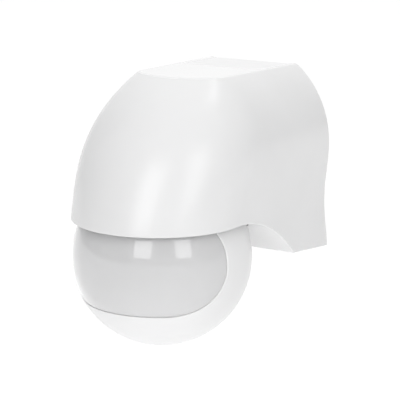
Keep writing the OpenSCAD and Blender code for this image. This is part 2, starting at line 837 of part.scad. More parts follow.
module status_led() color([0.8, 0.1, 0.1])
    in_ball() translate([led[0], front_face, led[1]]) rotate([90, 0, 0]) {
    cylinder(r = 1.9, h = 0.8);
    cylinder(r = 1.5, h = 3);
    translate([0, 0, 3]) intersection() {
        sphere(1.5);
        translate([-2, -2, -0.5]) cube(4);
    }
}

module light_sensor() color([0.7, 0.45, 0.3])
    in_ball() rod_y([light_cell[0], front_face, light_cell[1]], 2.2, 2.5);

module control_chip() color(black) in_ball() {
    translate([-5, front_face - 1.8, chip_z]) cube([10, 1.6, 4]);
    for (i = [0:7], s = [-1, 1])
        translate([-4.6 + 1.27 * i, front_face - 0.9, chip_z + 2 + s * 2.5 - 0.55]) cube([0.4, 0.9, 1.1]);
}

module sensor_connector() color([0.9, 0.9, 0.85]) in_ball() difference() {
    translate([-5, front_face - 5, connector_z]) cube([10, 5, 4.5]);
    translate([-4.2, front_face - 6, connector_z + 0.8]) cube([8.4, 5, 2.9]);
}

module adjuster_board() color(board_green) in_ball() difference() {
    translate([-adjuster_half_len, -adjuster_front, trimmer_high])
        cube([2 * adjuster_half_len, adjuster_front + adjuster_rear, board_t]);
    for (s = [-1, 1])
        translate([s * adjuster_screw_x, knob_y, trimmer_high - 1]) cylinder(r = 1, h = 4);
}

module adjuster_screws() color(steel) in_ball() for (s = [-1, 1])
    translate([s * adjuster_screw_x, knob_y, trimmer_high + board_t])
        rotate([180, 0, 0]) pan_screw(0.8, 4.2, 1.6, 1);

module trimmers() color([0.2, 0.35, 0.7]) in_ball() for (i = [-1:1])
    difference() {
        translate([i * knob_pitch - trimmer_w / 2, knob_y - trimmer_w / 2, trimmer_low])
            cube([trimmer_w, trimmer_w, trimmer_high - trimmer_low]);
        translate([i * knob_pitch, knob_y, trimmer_low - 1])
            cylinder(r = shaft_r + running, h = trimmer_bore + 1);
    }

module tilt_pins() color(steel) in_ball() both_sides()
    rod_x([pin_in, 0, 0], pin_out - pin_in, pin_r);

module tilt_washers() color([0.9, 0.85, 0.6]) in_ball() both_sides() difference() {
    rod_x([yoke_boss_out + running, 0, 0], washer_t, boss_r - washer_inset);
    rod_x([yoke_boss_out - 1, 0, 0], 3, pin_r);
}

// Slotted knob with a fluted rim, on a shaft that reaches into its trimmer
module knob(i) color([0.82, 0.82, 0.83]) in_ball() translate([i * knob_pitch, knob_y, 0]) difference() {
    union() {
        translate([0, 0, knob_tip]) cylinder(r = knob_r, h = pocket_floor - 0.3 - knob_tip);
        translate([0, 0, knob_tip + 1]) cylinder(r = shaft_r, h = shaft_top - knob_tip - 1);
    }
    translate([-knob_r - 1, -0.45, knob_tip - 1]) cube([2 * knob_r + 2, 0.9, 2.2]);
    for (a = [15:30:345])
        rotate(a) translate([knob_r + 0.15, 0, knob_tip - 1]) cylinder(r = 0.4, h = 3.2);
}

module lux_knob() knob(-1);
module time_knob() knob(0);
module sensitivity_knob() knob(1);

hood();
base_plate();
rear_gasket();
cable_grommet();
cover_screws();
ball_cup();
cup_screws();
power_board();
power_board_screws();
relay();
film_capacitor();
smoothing_capacitor();
varistor();
fuse();
rectifier_diodes();
board_connectors();
terminal_block();
terminal_screws();
supply_wires();
sensor_loom();
yoke();
friction_washer();
retaining_nut();
o_ring();
sensor_leads();
front_shell();
rear_shell();
shell_screws();
lens();
lens_frame();
sensor_board();
sensor_board_screws();
pir_sensor();
ir_filter();
status_led();
light_sensor();
control_chip();
sensor_connector();
adjuster_board();
adjuster_screws();
trimmers();
tilt_pins();
tilt_washers();
lux_knob();
time_knob();
sensitivity_knob();
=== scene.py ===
"""Looks of a wall-mounted motion sensor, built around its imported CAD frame."""
import json
import math

import bmesh
import bpy
from mathutils import Matrix, Vector


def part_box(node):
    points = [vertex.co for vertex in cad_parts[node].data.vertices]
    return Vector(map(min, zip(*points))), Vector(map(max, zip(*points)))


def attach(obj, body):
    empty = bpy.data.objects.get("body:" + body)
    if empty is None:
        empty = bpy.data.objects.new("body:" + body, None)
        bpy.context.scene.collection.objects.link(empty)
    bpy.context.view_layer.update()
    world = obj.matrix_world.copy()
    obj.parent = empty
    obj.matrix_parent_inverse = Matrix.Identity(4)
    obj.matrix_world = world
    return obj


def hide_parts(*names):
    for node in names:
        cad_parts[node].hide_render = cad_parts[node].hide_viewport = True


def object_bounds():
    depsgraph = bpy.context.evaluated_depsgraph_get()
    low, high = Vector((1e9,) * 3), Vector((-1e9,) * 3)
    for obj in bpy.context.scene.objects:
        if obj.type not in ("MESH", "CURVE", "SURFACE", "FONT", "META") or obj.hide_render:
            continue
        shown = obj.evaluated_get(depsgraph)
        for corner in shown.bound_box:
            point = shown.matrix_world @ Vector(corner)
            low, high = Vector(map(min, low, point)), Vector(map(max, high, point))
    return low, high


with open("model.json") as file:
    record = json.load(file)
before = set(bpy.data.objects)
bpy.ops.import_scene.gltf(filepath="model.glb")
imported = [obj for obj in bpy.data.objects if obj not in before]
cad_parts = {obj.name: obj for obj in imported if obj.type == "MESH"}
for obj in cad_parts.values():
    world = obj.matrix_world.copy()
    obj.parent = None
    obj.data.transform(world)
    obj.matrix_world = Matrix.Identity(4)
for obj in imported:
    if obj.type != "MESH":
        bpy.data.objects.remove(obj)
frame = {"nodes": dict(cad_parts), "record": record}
cad_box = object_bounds()

# Lengths are in millimetres up to the mesh helpers, which turn them into metres
MM = 0.001

# ---- Places that the frame gives ----


def box_mm(node):
    """Lowest and highest corner of a CAD node in millimetres."""
    low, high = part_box(node)
    return Vector(low) / MM, Vector(high) / MM


JOINTS = {j["name"]: j for j in frame["record"]["behaviour"]["joints"]}
BALL = Vector(JOINTS["head_tilt"]["pos_m"]) / MM
HOOD_LOW, HOOD_HIGH = box_mm("hood")
HOOD_HALF_W = HOOD_HIGH.x
FOOT_Z = HOOD_LOW.z
BALL_R = box_mm("front_shell")[1].x
PARTING = box_mm("front_shell")[1].y - BALL.y
KNOB_PITCH = JOINTS["sensitivity_turn"]["pos_m"][0] / MM
KNOB_Y = JOINTS["time_turn"]["pos_m"][1] / MM - BALL.y

# ---- The hood's shape, by the same rules as the CAD model ----

HOOD_TOP = 32.7  # the flat top's level at the wall
TOP_SLOPE = math.tan(math.radians(1.06))  # the top rises to the front
TOP_ROUND = 0.55

WIDEST_Z = 4.8  # level where the side walls stand furthest out
SIDE_R = 35  # arc of the side walls above it
WAIST_HALF_W = 30.51  # where they stand furthest in
WAIST_DROP = 20.8  # from the widest level down to the waist

FRONT_R = 77.35  # arc of the front, seen from the side
FRONT_OUT = 17.79  # its centre's distance from the wall
FRONT_DROP = 30.04  # its centre's depth below the origin
NOSE_STRETCH = 1.5  # the nose's extra length at the top
BLUNT_Z = 22  # above this level the nose gets blunter
BLUNT_H = 10.7
NOSE_BLUNT = 6.1
FRONT_BLUNT = 2.15

RIM_Z = -14.4
UNDER_R = 48.2  # arc of the hollow underside
UNDER_OUT = 61.2  # where it meets the level rim
FOOT_SLOPE = math.tan(math.radians(5.7))
EDGE_ROUND = 0.45
FRONT_LIMIT = 60  # a distance from the wall that is past both turns of the lower edge

HOOD_WALL = 1.8
HOOD_FLOOR = 2
TOP_WALL = 2
LEVEL_FLOOR = 8  # length of the inside's floor that stays level behind the rim
OPENING_R = BALL_R + 0.8

LAND_HALF_W = 15.5
LAND_LEN = 24.3
LAND_DEPTH = 0.3
LAND_CORNER = 6
LAND_FLARE = 0.2  # how far the land's front edge leans out
LAND_SIDE_FLARE = 1.9  # how far its sides lean out
LAND_CLEAR = 0.2  # how far its cut goes on above the top
GROOVE_W = 0.45
GROOVE_DEPTH = 0.35

SCREW_HEAD_R = 2.7
COVER_RECESS_R = 3.2
COVER_RECESS_FLARE = 1.6  # reached at the cut's mouth, below the foot
COVER_FLARE_END = 0.85  # where the flare ends, above the foot's lowest level
COVER_RECESS_REACH = 2  # how far the cut goes below and above that level

# ---- The ball's shape, with levels and depths from its middle ----

BALL_WALL = 1.8
WINDOW_REAR = 6.3  # the window's rear end, ahead of the ball's middle
WINDOW_MID = 3.6  # the window's middle, above the ball's middle
WINDOW_HALF_H = 18.2
WINDOW_CORNER = 16.5
WINDOW_ROUND = 0.3
LENS_RECESS = 0.3
LENS_T = 1.2
LENS_GAP = 0.02
LENS_ROUND = 0.08

SLOT_HALF_W = 6.6
SLOT_HALF_LEN = 17.2
SLOT_BOTTOM = 12
SLOT_TOP = 42
POCKET_HALF_W = 4
POCKET_FLOOR = -24
TUB_WALL = 1.2
TUB_LOW = -31
TUB_TOP = -22.6
SHAFT_HOLE_R = 1.55
SHAFT_HOLE_LOW = -26
SHAFT_HOLE_TOP = -20

SCREW_BOSS_R = 4.2
SCREW_RECESS_R = 3.1
SCREW_BORE_R = 1.4
SCREW_SEAT_Y = 10
PAST_BALL = 40  # a distance that is outside the ball
PAST_WINDOW = math.radians(110)  # an angle from the front that is outside the window

# ---- Fineness of the meshes ----

MERGE_M = 1e-7  # metres, like DEGENERATE_M
DEGENERATE_M = 1e-8
NEARLY_ZERO = 1e-6
LEVEL_TOLERANCE = 1e-9
CREASE = math.radians(32)  # edges sharper than this stay crisp

CAP, ROUND, ROWS, STRIP = 6, 4, 44, 8  # points of a hood column: top, corners, wall, lower edge
FOOT_COLUMNS, CORNER_COLUMNS, UNDER_COLUMNS, NOSE_COLUMNS = 6, 3, 22, 26
DIRECTION_COUNT = 288  # sections round the ball
DIRECTIONS = [2 * math.pi * (i + 0.5) / DIRECTION_COUNT for i in range(DIRECTION_COUNT)]


# ---- Mesh helpers ----


def new_object(name, verts, faces, offset=Vector((0, 0, 0))):
    """Object from millimetre vertices and faces, with doubles merged and normals made to agree."""
    mesh = bpy.data.meshes.new(name)
    mesh.from_pydata([(Vector(v) + offset) * MM for v in verts], [], faces)
    bm = bmesh.new()
    bm.from_mesh(mesh)
    bmesh.ops.remove_doubles(bm, verts=bm.verts, dist=MERGE_M)
    bmesh.ops.dissolve_degenerate(bm, edges=bm.edges, dist=DEGENERATE_M)
    bmesh.ops.recalc_face_normals(bm, faces=bm.faces)
    bm.to_mesh(mesh)
    bm.free()
    obj = bpy.data.objects.new(name, mesh)
    bpy.context.scene.collection.objects.link(obj)
    return obj


def settle(obj):
    """Replaces an object's mesh by its evaluated one and drops the modifiers."""
    depsgraph = bpy.context.evaluated_depsgraph_get()
    mesh = bpy.data.meshes.new_from_object(obj.evaluated_get(depsgraph))
    obj.modifiers.clear()
    old = obj.data
    obj.data = mesh
    bpy.data.meshes.remove(old)


def combine(obj, tools, operation):
    """Boolean of an object with other closed objects, which are used up."""
    for tool in tools:
        modifier = obj.modifiers.new("combine", "BOOLEAN")
        modifier.operation = operation
        modifier.solver = "EXACT"
        modifier.object = tool
        settle(obj)
        bpy.data.objects.remove(tool)


def shade(obj):
    """Smooth shading that stays crisp at the creases."""
    mesh = obj.data
    mesh.shade_smooth()
    bm = bmesh.new()
    bm.from_mesh(mesh)
    for edge in bm.edges:
        edge.smooth = len(edge.link_faces) == 2 and edge.calc_face_angle(0) < CREASE
    bm.to_mesh(mesh)
    bm.free()
    weights = obj.modifiers.new("weighted", "WEIGHTED_NORMAL")
    weights.keep_sharp = True
    weights.weight = 60
    settle(obj)


def prism(name, outline, levels, offset=Vector((0, 0, 0))):
    """Closed solid through outlines: outline(grow) gives (x, y) points, levels are rising (z, grow)."""
    rings = [[(x, y, z) for x, y in outline(grow)] for z, grow in levels]
    count = len(rings[0])
    verts = [v for ring in rings for v in ring]
    faces = [list(range(count))[::-1], [(len(rings) - 1) * count + j for j in range(count)]]
    for i in range(len(rings) - 1):
        for j in range(count):
            k = (j + 1) % count
            faces.append((i * count + j, i * count + k, (i + 1) * count + k, (i + 1) * count + j))
    return new_object(name, verts, faces, offset)


def circle_outline(radius, steps=72):
    """Outline of a circle for a prism."""
    def outline(grow):
        return [((radius + grow) * math.cos(2 * math.pi * i / steps),
                 (radius + grow) * math.sin(2 * math.pi * i / steps)) for i in range(steps)]
    return outline


def box_tool(low, high, offset=Vector((0, 0, 0))):
    """Box between two corners."""
    def outline(_grow):
        return [(low[0], low[1]), (high[0], low[1]), (high[0], high[1]), (low[0], high[1])]
    return prism("box_tool", outline, [(low[2], 0), (high[2], 0)], offset)


def rod_along_y(name, radius, near, far, at):
    """Rod that runs backwards from near to far, measured from a place."""
    rod = prism(name, circle_outline(radius, steps=48), [(near, 0), (far, 0)])
    rod.data.transform(Matrix.Rotation(math.radians(-90), 4, "X"))
    rod.data.transform(Matrix.Translation(at * MM))
    return rod


def bend(start, corner, end, steps):
    """Points that round a corner, from start to end."""
    a, b, c = Vector(start), Vector(corner), Vector(end)
    shares = [i / steps for i in range(steps + 1)]
    return [a * (1 - s) ** 2 + b * 2 * s * (1 - s) + c * s * s for s in shares]


def blend_points(a, b, steps):
    """Evenly spaced points after a, up to and with b."""
    a, b = Vector(a), Vector(b)
    return [a.lerp(b, i / steps) for i in range(1, steps + 1)]


def find(test, low, high):
    """Where a test that holds at low stops holding, by halving."""
    for _ in range(50):
        middle = (low + high) / 2
        low, high = (middle, high) if test(middle) else (low, middle)
    return low


# ---- Hood ----


def half_w(z, t=0):
    """Half width of the hood at a level, t inside its surface."""
    if z > WIDEST_Z:
        return HOOD_HALF_W - SIDE_R + math.sqrt((SIDE_R - t) ** 2 - (z - WIDEST_Z) ** 2)
    middle = (HOOD_HALF_W + WAIST_HALF_W) / 2
    swing = (HOOD_HALF_W - WAIST_HALF_W) / 2
    return middle + swing * math.cos(math.pi * (z - WIDEST_Z) / WAIST_DROP) - t


def blunt(z):
    """How blunt the nose is at a level: 0 up to BLUNT_Z and 1 at the top."""
    return max(0, (z - BLUNT_Z) / BLUNT_H) ** 2


def front_depth(z, t=0):
    """Distance from the wall to the front of the hood at a level."""
    return FRONT_OUT + math.sqrt((FRONT_R - t) ** 2 - (z + FRONT_DROP) ** 2) - FRONT_BLUNT * blunt(z)


def nose_len(z, t=0):
    """Length of the nose's half ellipse at a level."""
    stretch = NOSE_STRETCH * max(0, (z - WIDEST_Z) / (HOOD_TOP - WIDEST_Z)) ** 2
    return half_w(z, t) + stretch - NOSE_BLUNT * blunt(z)


def nose_start(z, t=0):
    """Distance from the wall to the nose's half ellipse at a level."""
    return front_depth(z, t) - nose_len(z, t)


def top_level(y):
    """Level of the sloping flat top at a place."""
    return HOOD_TOP - TOP_SLOPE * y


def skin(u, z, t=0, inset=0):
    """Point of the hood's wall at a level: u runs 0 to 1 along the side and 1 to 2 round half the nose."""
    w, c = half_w(z, t) - inset, nose_start(z, t)
    if u <= 1:
        return Vector((w, -c * u, z))
    a = math.radians(90 * (u - 1))
    return Vector((w * math.cos(a), -c - (nose_len(z, t) - inset) * math.sin(a), z))


def underside(out, grow=0):
    """Level of the hood's lower edge at a distance from the wall, grow above its outer surface."""
    foot = FOOT_Z + FOOT_SLOPE * out + grow
    if out >= UNDER_OUT:
        return RIM_Z
    reach = (UNDER_R + grow) ** 2 - (UNDER_OUT - out) ** 2
    return max(foot, RIM_Z - UNDER_R + math.sqrt(reach)) if reach > 0 else foot


def opening_half_w(out):
    """Half width of the opening for the ball at a distance from the wall, or 0 behind it."""
    level = underside(out)
    square = OPENING_R ** 2 - (out + BALL.y) ** 2 - (level - BALL.z) ** 2
    return math.sqrt(square) if square > 0 else 0


def hood_columns():
    """Positions round half the hood, closer together where the lower edge turns."""
    corner = find(lambda d: FOOT_Z + FOOT_SLOPE * d >= underside(d) - LEVEL_TOLERANCE, 1, FRONT_LIMIT)
    opening = find(lambda d: opening_half_w(d) == 0, corner, FRONT_LIMIT)
    outs = [corner * i / FOOT_COLUMNS for i in range(FOOT_COLUMNS + 1)]
    outs += [corner + (opening - corner) * i / CORNER_COLUMNS for i in range(1, CORNER_COLUMNS + 1)]
    outs += [opening + (UNDER_OUT - opening) * (i / UNDER_COLUMNS) ** 2
             for i in range(1, UNDER_COLUMNS + 1)]
    side = [d / nose_start(underside(d)) for d in outs]
    return side + [1 + i / NOSE_COLUMNS for i in range(NOSE_COLUMNS + 1)]


def outer_profile(u):
    """One column of the hood's outside: from the middle of the top down to the opening's edge."""
    # Place and level depend on each other, so both loops repeat until they agree
    top_z = HOOD_TOP
    for _ in range(8):
        top_z = top_level(skin(u, top_z).y)
    end = skin(u, top_z, 0, TOP_ROUND)
    end.z = top_level(end.y)
    middle_y = end.y if u <= 1 else skin(1, top_z).y
    start = Vector((0, middle_y, top_level(middle_y)))
    below_top = skin(u, top_z - TOP_ROUND * 0.6)
    points = [start] + blend_points(start, end, CAP)
    points += bend(end, skin(u, top_z), below_top, ROUND)[1:]
    edge_z = RIM_Z
    for _ in range(12):
        edge_z = underside(-skin(u, edge_z).y)
    low_z = edge_z + EDGE_ROUND
    points += [skin(u, below_top.z + (low_z - below_top.z) * i / ROWS) for i in range(1, ROWS + 1)]
    edge = skin(u, edge_z)
    inner = Vector((min(half_w(edge_z, HOOD_WALL), opening_half_w(-edge.y)), edge.y, edge_z))
    if u > 1:
        inner = skin(u, edge_z, HOOD_WALL)
    turn = edge + (inner - edge).normalized() * EDGE_ROUND
    points += bend(points[-1], edge, turn, ROUND)[1:]
    return points + blend_points(turn, inner, STRIP)


def inner_profile(u, outer_end):
    """The same column of the hood's inside, ending above the opening's edge."""
    top = HOOD_TOP - TOP_WALL
    end = skin(u, top, HOOD_WALL)
    start = Vector((0, end.y if u <= 1 else skin(1, top, HOOD_WALL).y, top))
    points = [start] + blend_points(start, end, CAP + ROUND)
    if u > 1:
        low_z = RIM_Z + EDGE_ROUND
    elif -outer_end.y < UNDER_OUT - LEVEL_FLOOR:
        low_z = underside(-outer_end.y, HOOD_FLOOR)
    else:
        low_z = RIM_Z + HOOD_FLOOR
    wall_foot = skin(u, low_z, HOOD_WALL)
    points += [skin(u, top + (low_z - top) * i / ROWS, HOOD_WALL) for i in range(1, ROWS + 1)]
    last = Vector((min(outer_end.x, wall_foot.x), wall_foot.y, low_z)) if u <= 1 else wall_foot
    return points + blend_points(wall_foot, last, ROUND + STRIP)


def hood_skin():
    """The plain hood: outer and inner columns on both sides, joined by faces."""
    right = []
    for u in hood_columns():
        outer = outer_profile(u)
        right.append((outer, inner_profile(u, outer[-1])))
    mirror = Matrix.Diagonal((-1, 1, 1))
    left = [([mirror @ p for p in o], [mirror @ p for p in i]) for o, i in reversed(right[:-1])]
    columns = right + left
    size = len(columns[0][0])
    verts = [p for outer, inner in columns for p in outer + inner]
    faces = []

    def outer_at(c, i):
        return c * 2 * size + i

    def inner_at(c, i):
        return c * 2 * size + size + i

    def off_axis(c):
        return abs(columns[c][0][-1].x) > NEARLY_ZERO

    for c in range(len(columns) - 1):
        for i in range(size - 1):
            faces.append((outer_at(c, i), outer_at(c, i + 1), outer_at(c + 1, i + 1), outer_at(c + 1, i)))
            faces.append((inner_at(c, i), inner_at(c + 1, i), inner_at(c + 1, i + 1), inner_at(c, i + 1)))
        if off_axis(c) or off_axis(c + 1):
            faces.append((outer_at(c, size - 1), inner_at(c, size - 1),
                          inner_at(c + 1, size - 1), outer_at(c + 1, size - 1)))
    for c in (0, len(columns) - 1):
        for i in range(size - 1):
            faces.append((outer_at(c, i), outer_at(c, i + 1), inner_at(c, i + 1), inner_at(c, i)))
    return new_object("hood_shell", verts, faces)


def land_outline(grow):
    """The land on the top, from behind the wall plane to its rounded front corners."""
    w, d, r = LAND_HALF_W + grow * LAND_SIDE_FLARE / LAND_FLARE, LAND_LEN + grow, LAND_CORNER
    arc = [math.radians(90 * i / 12) for i in range(13)]
    left_corner = [(-w + r - r * math.cos(a), -d + r - r * math.sin(a)) for a in arc]
    right_corner = [(w - r + r * math.sin(a), -d + r - r * math.cos(a)) for a in arc]
    return [(-w, 1)] + left_corner + right_corner + [(w, 1)]


def land_tools():
    """Cuts for the land and its groove, laid on the sloping top."""
    levels = [(-LAND_DEPTH, 0), (0, LAND_FLARE), (LAND_CLEAR, LAND_FLARE * 1.6)]
    land = prism("land_tool", land_outline, levels)
    reach = LAND_HALF_W - LAND_CORNER
    groove = box_tool((-reach, -LAND_LEN, -LAND_DEPTH - GROOVE_DEPTH), (reach, -LAND_LEN + GROOVE_W, 0))
    for tool in (land, groove):
        tool.data.transform(Matrix.Rotation(-math.atan(TOP_SLOPE), 4, "X"))
        tool.data.transform(Matrix.Translation((0, 0, HOOD_TOP * MM)))
    return [land, groove]


def cover_screw_tools():
    """Recesses for the two screws under the foot."""
    low, high = box_mm("cover_screws")
    levels = [(FOOT_Z - COVER_RECESS_REACH, COVER_RECESS_FLARE), (FOOT_Z + COVER_FLARE_END, 0),
              (FOOT_Z + COVER_RECESS_REACH, 0)]
    tools = []
    for side in (-1, 1):
        at = Vector((side * (high.x - SCREW_HEAD_R), (low.y + high.y) / 2, 0))
        tools.append(prism("screw_tool", circle_outline(COVER_RECESS_R), levels, at))
    return tools


def build_hood():
    """Hood with its land, groove and screw recesses."""
    hood = hood_skin()
    combine(hood, land_tools() + cover_screw_tools(), "DIFFERENCE")
    shade(hood)
    return hood


# ---- Ball ----


def in_window(y, z, grow):
    """Is a side-view point inside the lens window grown by some distance?"""
    back = y + WINDOW_REAR + WINDOW_CORNER
    up = abs(z - WINDOW_MID) - (WINDOW_HALF_H - WINDOW_CORNER)
    if back <= 0:
        return up <= WINDOW_CORNER + grow
    if up <= 0:
        return back <= WINDOW_CORNER + grow
    return math.hypot(back, up) <= WINDOW_CORNER + grow


def polar(radius, theta, phi):
    """Point on a sphere: phi from its front pole, theta round the line of sight from +X up."""
    return Vector((radius * math.sin(phi) * math.cos(theta), -radius * math.cos(phi),
                   radius * math.sin(phi) * math.sin(theta)))


def arc_points(radius, theta, start, end, steps):
    """Points on a sphere from one phi to another."""
    return [polar(radius, theta, start + (end - start) * i / steps) for i in range(steps + 1)]


def window_phi(radius, theta, grow):
    """Angle from the front pole at which a sphere leaves the grown window."""
    def inside(phi):
        p = polar(radius, theta, phi)
        return in_window(p.y, p.z, grow)
    return find(inside, 0, PAST_WINDOW)


def swept_shell(name, profiles, poles=False):
    """Closed mesh from one closed profile per direction. With poles, each profile's ends are on the axis."""
    count, size = len(profiles), len(profiles[0])
    verts = [p for profile in profiles for p in profile]
    faces = []
    for c in range(count):
        d = (c + 1) % count
        for i in range(size - 1 if poles else size):
            j = (i + 1) % size
            faces.append((c * size + i, c * size + j, d * size + j, d * size + i))
    return new_object(name, verts, faces, BALL)


def sphere_tool(radius):
    """Ball for cutting with, a little coarser than the shells."""
    profiles = [arc_points(radius, t, 0, math.pi, steps=60) for t in DIRECTIONS[::3]]
    return swept_shell("sphere_tool", profiles, poles=True)


def slot_tool():
    """Cut for the stem, through the top of the ball."""
    low = (-SLOT_HALF_W, -SLOT_HALF_LEN, SLOT_BOTTOM)
    high = (SLOT_HALF_W, SLOT_HALF_LEN, SLOT_TOP)
    return box_tool(low, high, BALL)


def front_profile(theta):
    """The front shell's section in one direction: window edge, outside, parting face, inside."""
    inner_r = BALL_R - BALL_WALL
    edge = polar(BALL_R, theta, window_phi(BALL_R, theta, 0))
    outside = window_phi(BALL_R, theta, WINDOW_ROUND)
    wall_r = BALL_R - WINDOW_ROUND
    wall = polar(wall_r, theta, window_phi(wall_r, theta, 0))
    part_outer = math.acos(-PARTING / BALL_R)
    part_inner = math.acos(-PARTING / inner_r)
    points = bend(wall, edge, polar(BALL_R, theta, outside), steps=4)[:-1]
    points += arc_points(BALL_R, theta, outside, part_outer, steps=26)
    points += arc_points(inner_r, theta, part_inner, window_phi(inner_r, theta, 0), steps=20)
    return points


def rear_profile(theta):
    """The rear shell's section in one direction, out to the rear pole and back."""
    inner_r = BALL_R - BALL_WALL
    part_outer = math.acos(-PARTING / BALL_R)
    part_inner = math.acos(-PARTING / inner_r)
    points = arc_points(BALL_R, theta, part_outer, math.pi, steps=44)
    points += arc_points(inner_r, theta, math.pi, part_inner, steps=30)
    return points


def lens_profile(theta):
    """The lens's section in one direction, with a small round at its outer edge."""
    outer_r = BALL_R - LENS_RECESS
    inner_r = outer_r - LENS_T
    side_r = outer_r - LENS_ROUND
    near = window_phi(outer_r, theta, -LENS_GAP - LENS_ROUND)
    edge = polar(outer_r, theta, window_phi(outer_r, theta, -LENS_GAP))
    side = polar(side_r, theta, window_phi(side_r, theta, -LENS_GAP))
    points = arc_points(outer_r, theta, 0, near, steps=40)
    points += bend(points[-1], edge, side, steps=4)[1:]
    points += arc_points(inner_r, theta, window_phi(inner_r, theta, -LENS_GAP), 0, steps=40)
    return points


def oblong(half_len, half_width):
    """Outline with round ends, for the knobs' pocket."""
    def outline(grow):
        w, reach = half_width + grow, half_len - half_width
        arc = [math.pi * i / 20 - math.pi / 2 for i in range(21)]
        right = [(reach + w * math.cos(a), KNOB_Y + w * math.sin(a)) for a in arc]
        left = [(-reach - w * math.cos(a), KNOB_Y - w * math.sin(a)) for a in arc]
        return right + left
    return outline


def build_front_shell():
    """Front shell with the lens window, the stem's slot, the knobs' pocket and their shaft holes."""
    shell = swept_shell("front_shell_skin", [front_profile(t) for t in DIRECTIONS])
    half_len = KNOB_PITCH + POCKET_HALF_W
    tub_outline = oblong(half_len + TUB_WALL, POCKET_HALF_W + TUB_WALL)
    tub = prism("tub", tub_outline, [(TUB_LOW, 0), (TUB_TOP, 0)], BALL)
    combine(tub, [sphere_tool(BALL_R - BALL_WALL / 2)], "INTERSECT")
    combine(shell, [tub], "UNION")
    pocket_levels = [(-PAST_BALL, 0), (POCKET_FLOOR, 0)]
    tools = [slot_tool(), prism("pocket", oblong(half_len, POCKET_HALF_W), pocket_levels, BALL)]
    for i in (-1, 0, 1):
        at = BALL + Vector((i * KNOB_PITCH, KNOB_Y, 0))
        levels = [(SHAFT_HOLE_LOW, 0), (SHAFT_HOLE_TOP, 0)]
        tools.append(prism("shaft_hole", circle_outline(SHAFT_HOLE_R, steps=32), levels, at))
    combine(shell, tools, "DIFFERENCE")
    shade(shell)
    return shell


def build_rear_shell():
    """Rear shell with the stem's slot and two bosses for its screws."""
    shell = swept_shell("rear_shell_skin", [rear_profile(t) for t in DIRECTIONS])
    tools = [slot_tool()]
    low, high = box_mm("shell_screws")
    for side in (-1, 1):
        axis = Vector((side * (high.x - SCREW_HEAD_R), BALL.y, (low.z + high.z) / 2))
        boss = rod_along_y("screw_boss", SCREW_BOSS_R, PARTING + 0.5, PAST_BALL, axis)
        combine(boss, [sphere_tool(BALL_R - BALL_WALL / 2)], "INTERSECT")
        combine(shell, [boss], "UNION")
        tools.append(rod_along_y("screw_recess", SCREW_RECESS_R, SCREW_SEAT_Y, PAST_BALL, axis))
        tools.append(rod_along_y("screw_bore", SCREW_BORE_R, PARTING - 2, SCREW_SEAT_Y + 1, axis))
    combine(shell, tools, "DIFFERENCE")
    shade(shell)
    return shell


def build_lens():
    """Milky lens that fills the window."""
    lens = swept_shell("lens_shell", [lens_profile(t) for t in DIRECTIONS], poles=True)
    shade(lens)
    return lens


# ---- Materials ----

SHEEN_ROUGHNESS = 0.4
SCATTER_M = 0.003  # how far light spreads inside the milky plastic


def moulded(name, colour, roughness, grain=900, bump=0.02, variation=0.015, metallic=0.0,
            subsurface=0.0, sheen=0.0, specular=0.5):
    """Moulded or plated surface: slight colour drift, uneven roughness and a fine grain."""
    material = bpy.data.materials.new(name)
    material.use_nodes = True
    nodes, links = material.node_tree.nodes, material.node_tree.links
    shader = nodes["Principled BSDF"]
    shader.inputs["Metallic"].default_value = metallic
    shader.inputs["Sheen Weight"].default_value = sheen
    shader.inputs["Sheen Roughness"].default_value = SHEEN_ROUGHNESS
    shader.inputs["Specular IOR Level"].default_value = specular
    if subsurface:
        shader.inputs["Subsurface Weight"].default_value = subsurface
        shader.inputs["Subsurface Radius"].default_value = (1.0, 1.0, 1.0)
        shader.inputs["Subsurface Scale"].default_value = SCATTER_M
    place = nodes.new("ShaderNodeTexCoord")
    drift = nodes.new("ShaderNodeTexNoise")
    drift.inputs["Scale"].default_value = 45
    drift.inputs["Detail"].default_value = 3
    links.new(place.outputs["Object"], drift.inputs["Vector"])
    ramp = nodes.new("ShaderNodeValToRGB")
    ramp.color_ramp.elements[0].position = 0.3
    ramp.color_ramp.elements[0].color = [c * (1 - variation) for c in colour] + [1]
    ramp.color_ramp.elements[1].position = 0.7
    ramp.color_ramp.elements[1].color = [min(1, c * (1 + variation)) for c in colour] + [1]
    links.new(drift.outputs["Fac"], ramp.inputs["Fac"])
    links.new(ramp.outputs["Color"], shader.inputs["Base Color"])
    fine = nodes.new("ShaderNodeTexNoise")
    fine.inputs["Scale"].default_value = grain
    fine.inputs["Detail"].default_value = 4
    links.new(place.outputs["Object"], fine.inputs["Vector"])
    spread = nodes.new("ShaderNodeMapRange")
    spread.inputs["To Min"].default_value = roughness * 0.88
    spread.inputs["To Max"].default_value = roughness * 1.12
    links.new(fine.outputs["Fac"], spread.inputs["Value"])
    links.new(spread.outputs["Result"], shader.inputs["Roughness"])
    relief = nodes.new("ShaderNodeBump")
    relief.inputs["Strength"].default_value = bump
    relief.inputs["Distance"].default_value = 0.0001
    links.new(fine.outputs["Fac"], relief.inputs["Height"])
    links.new(relief.outputs["Normal"], shader.inputs["Normal"])
    return material


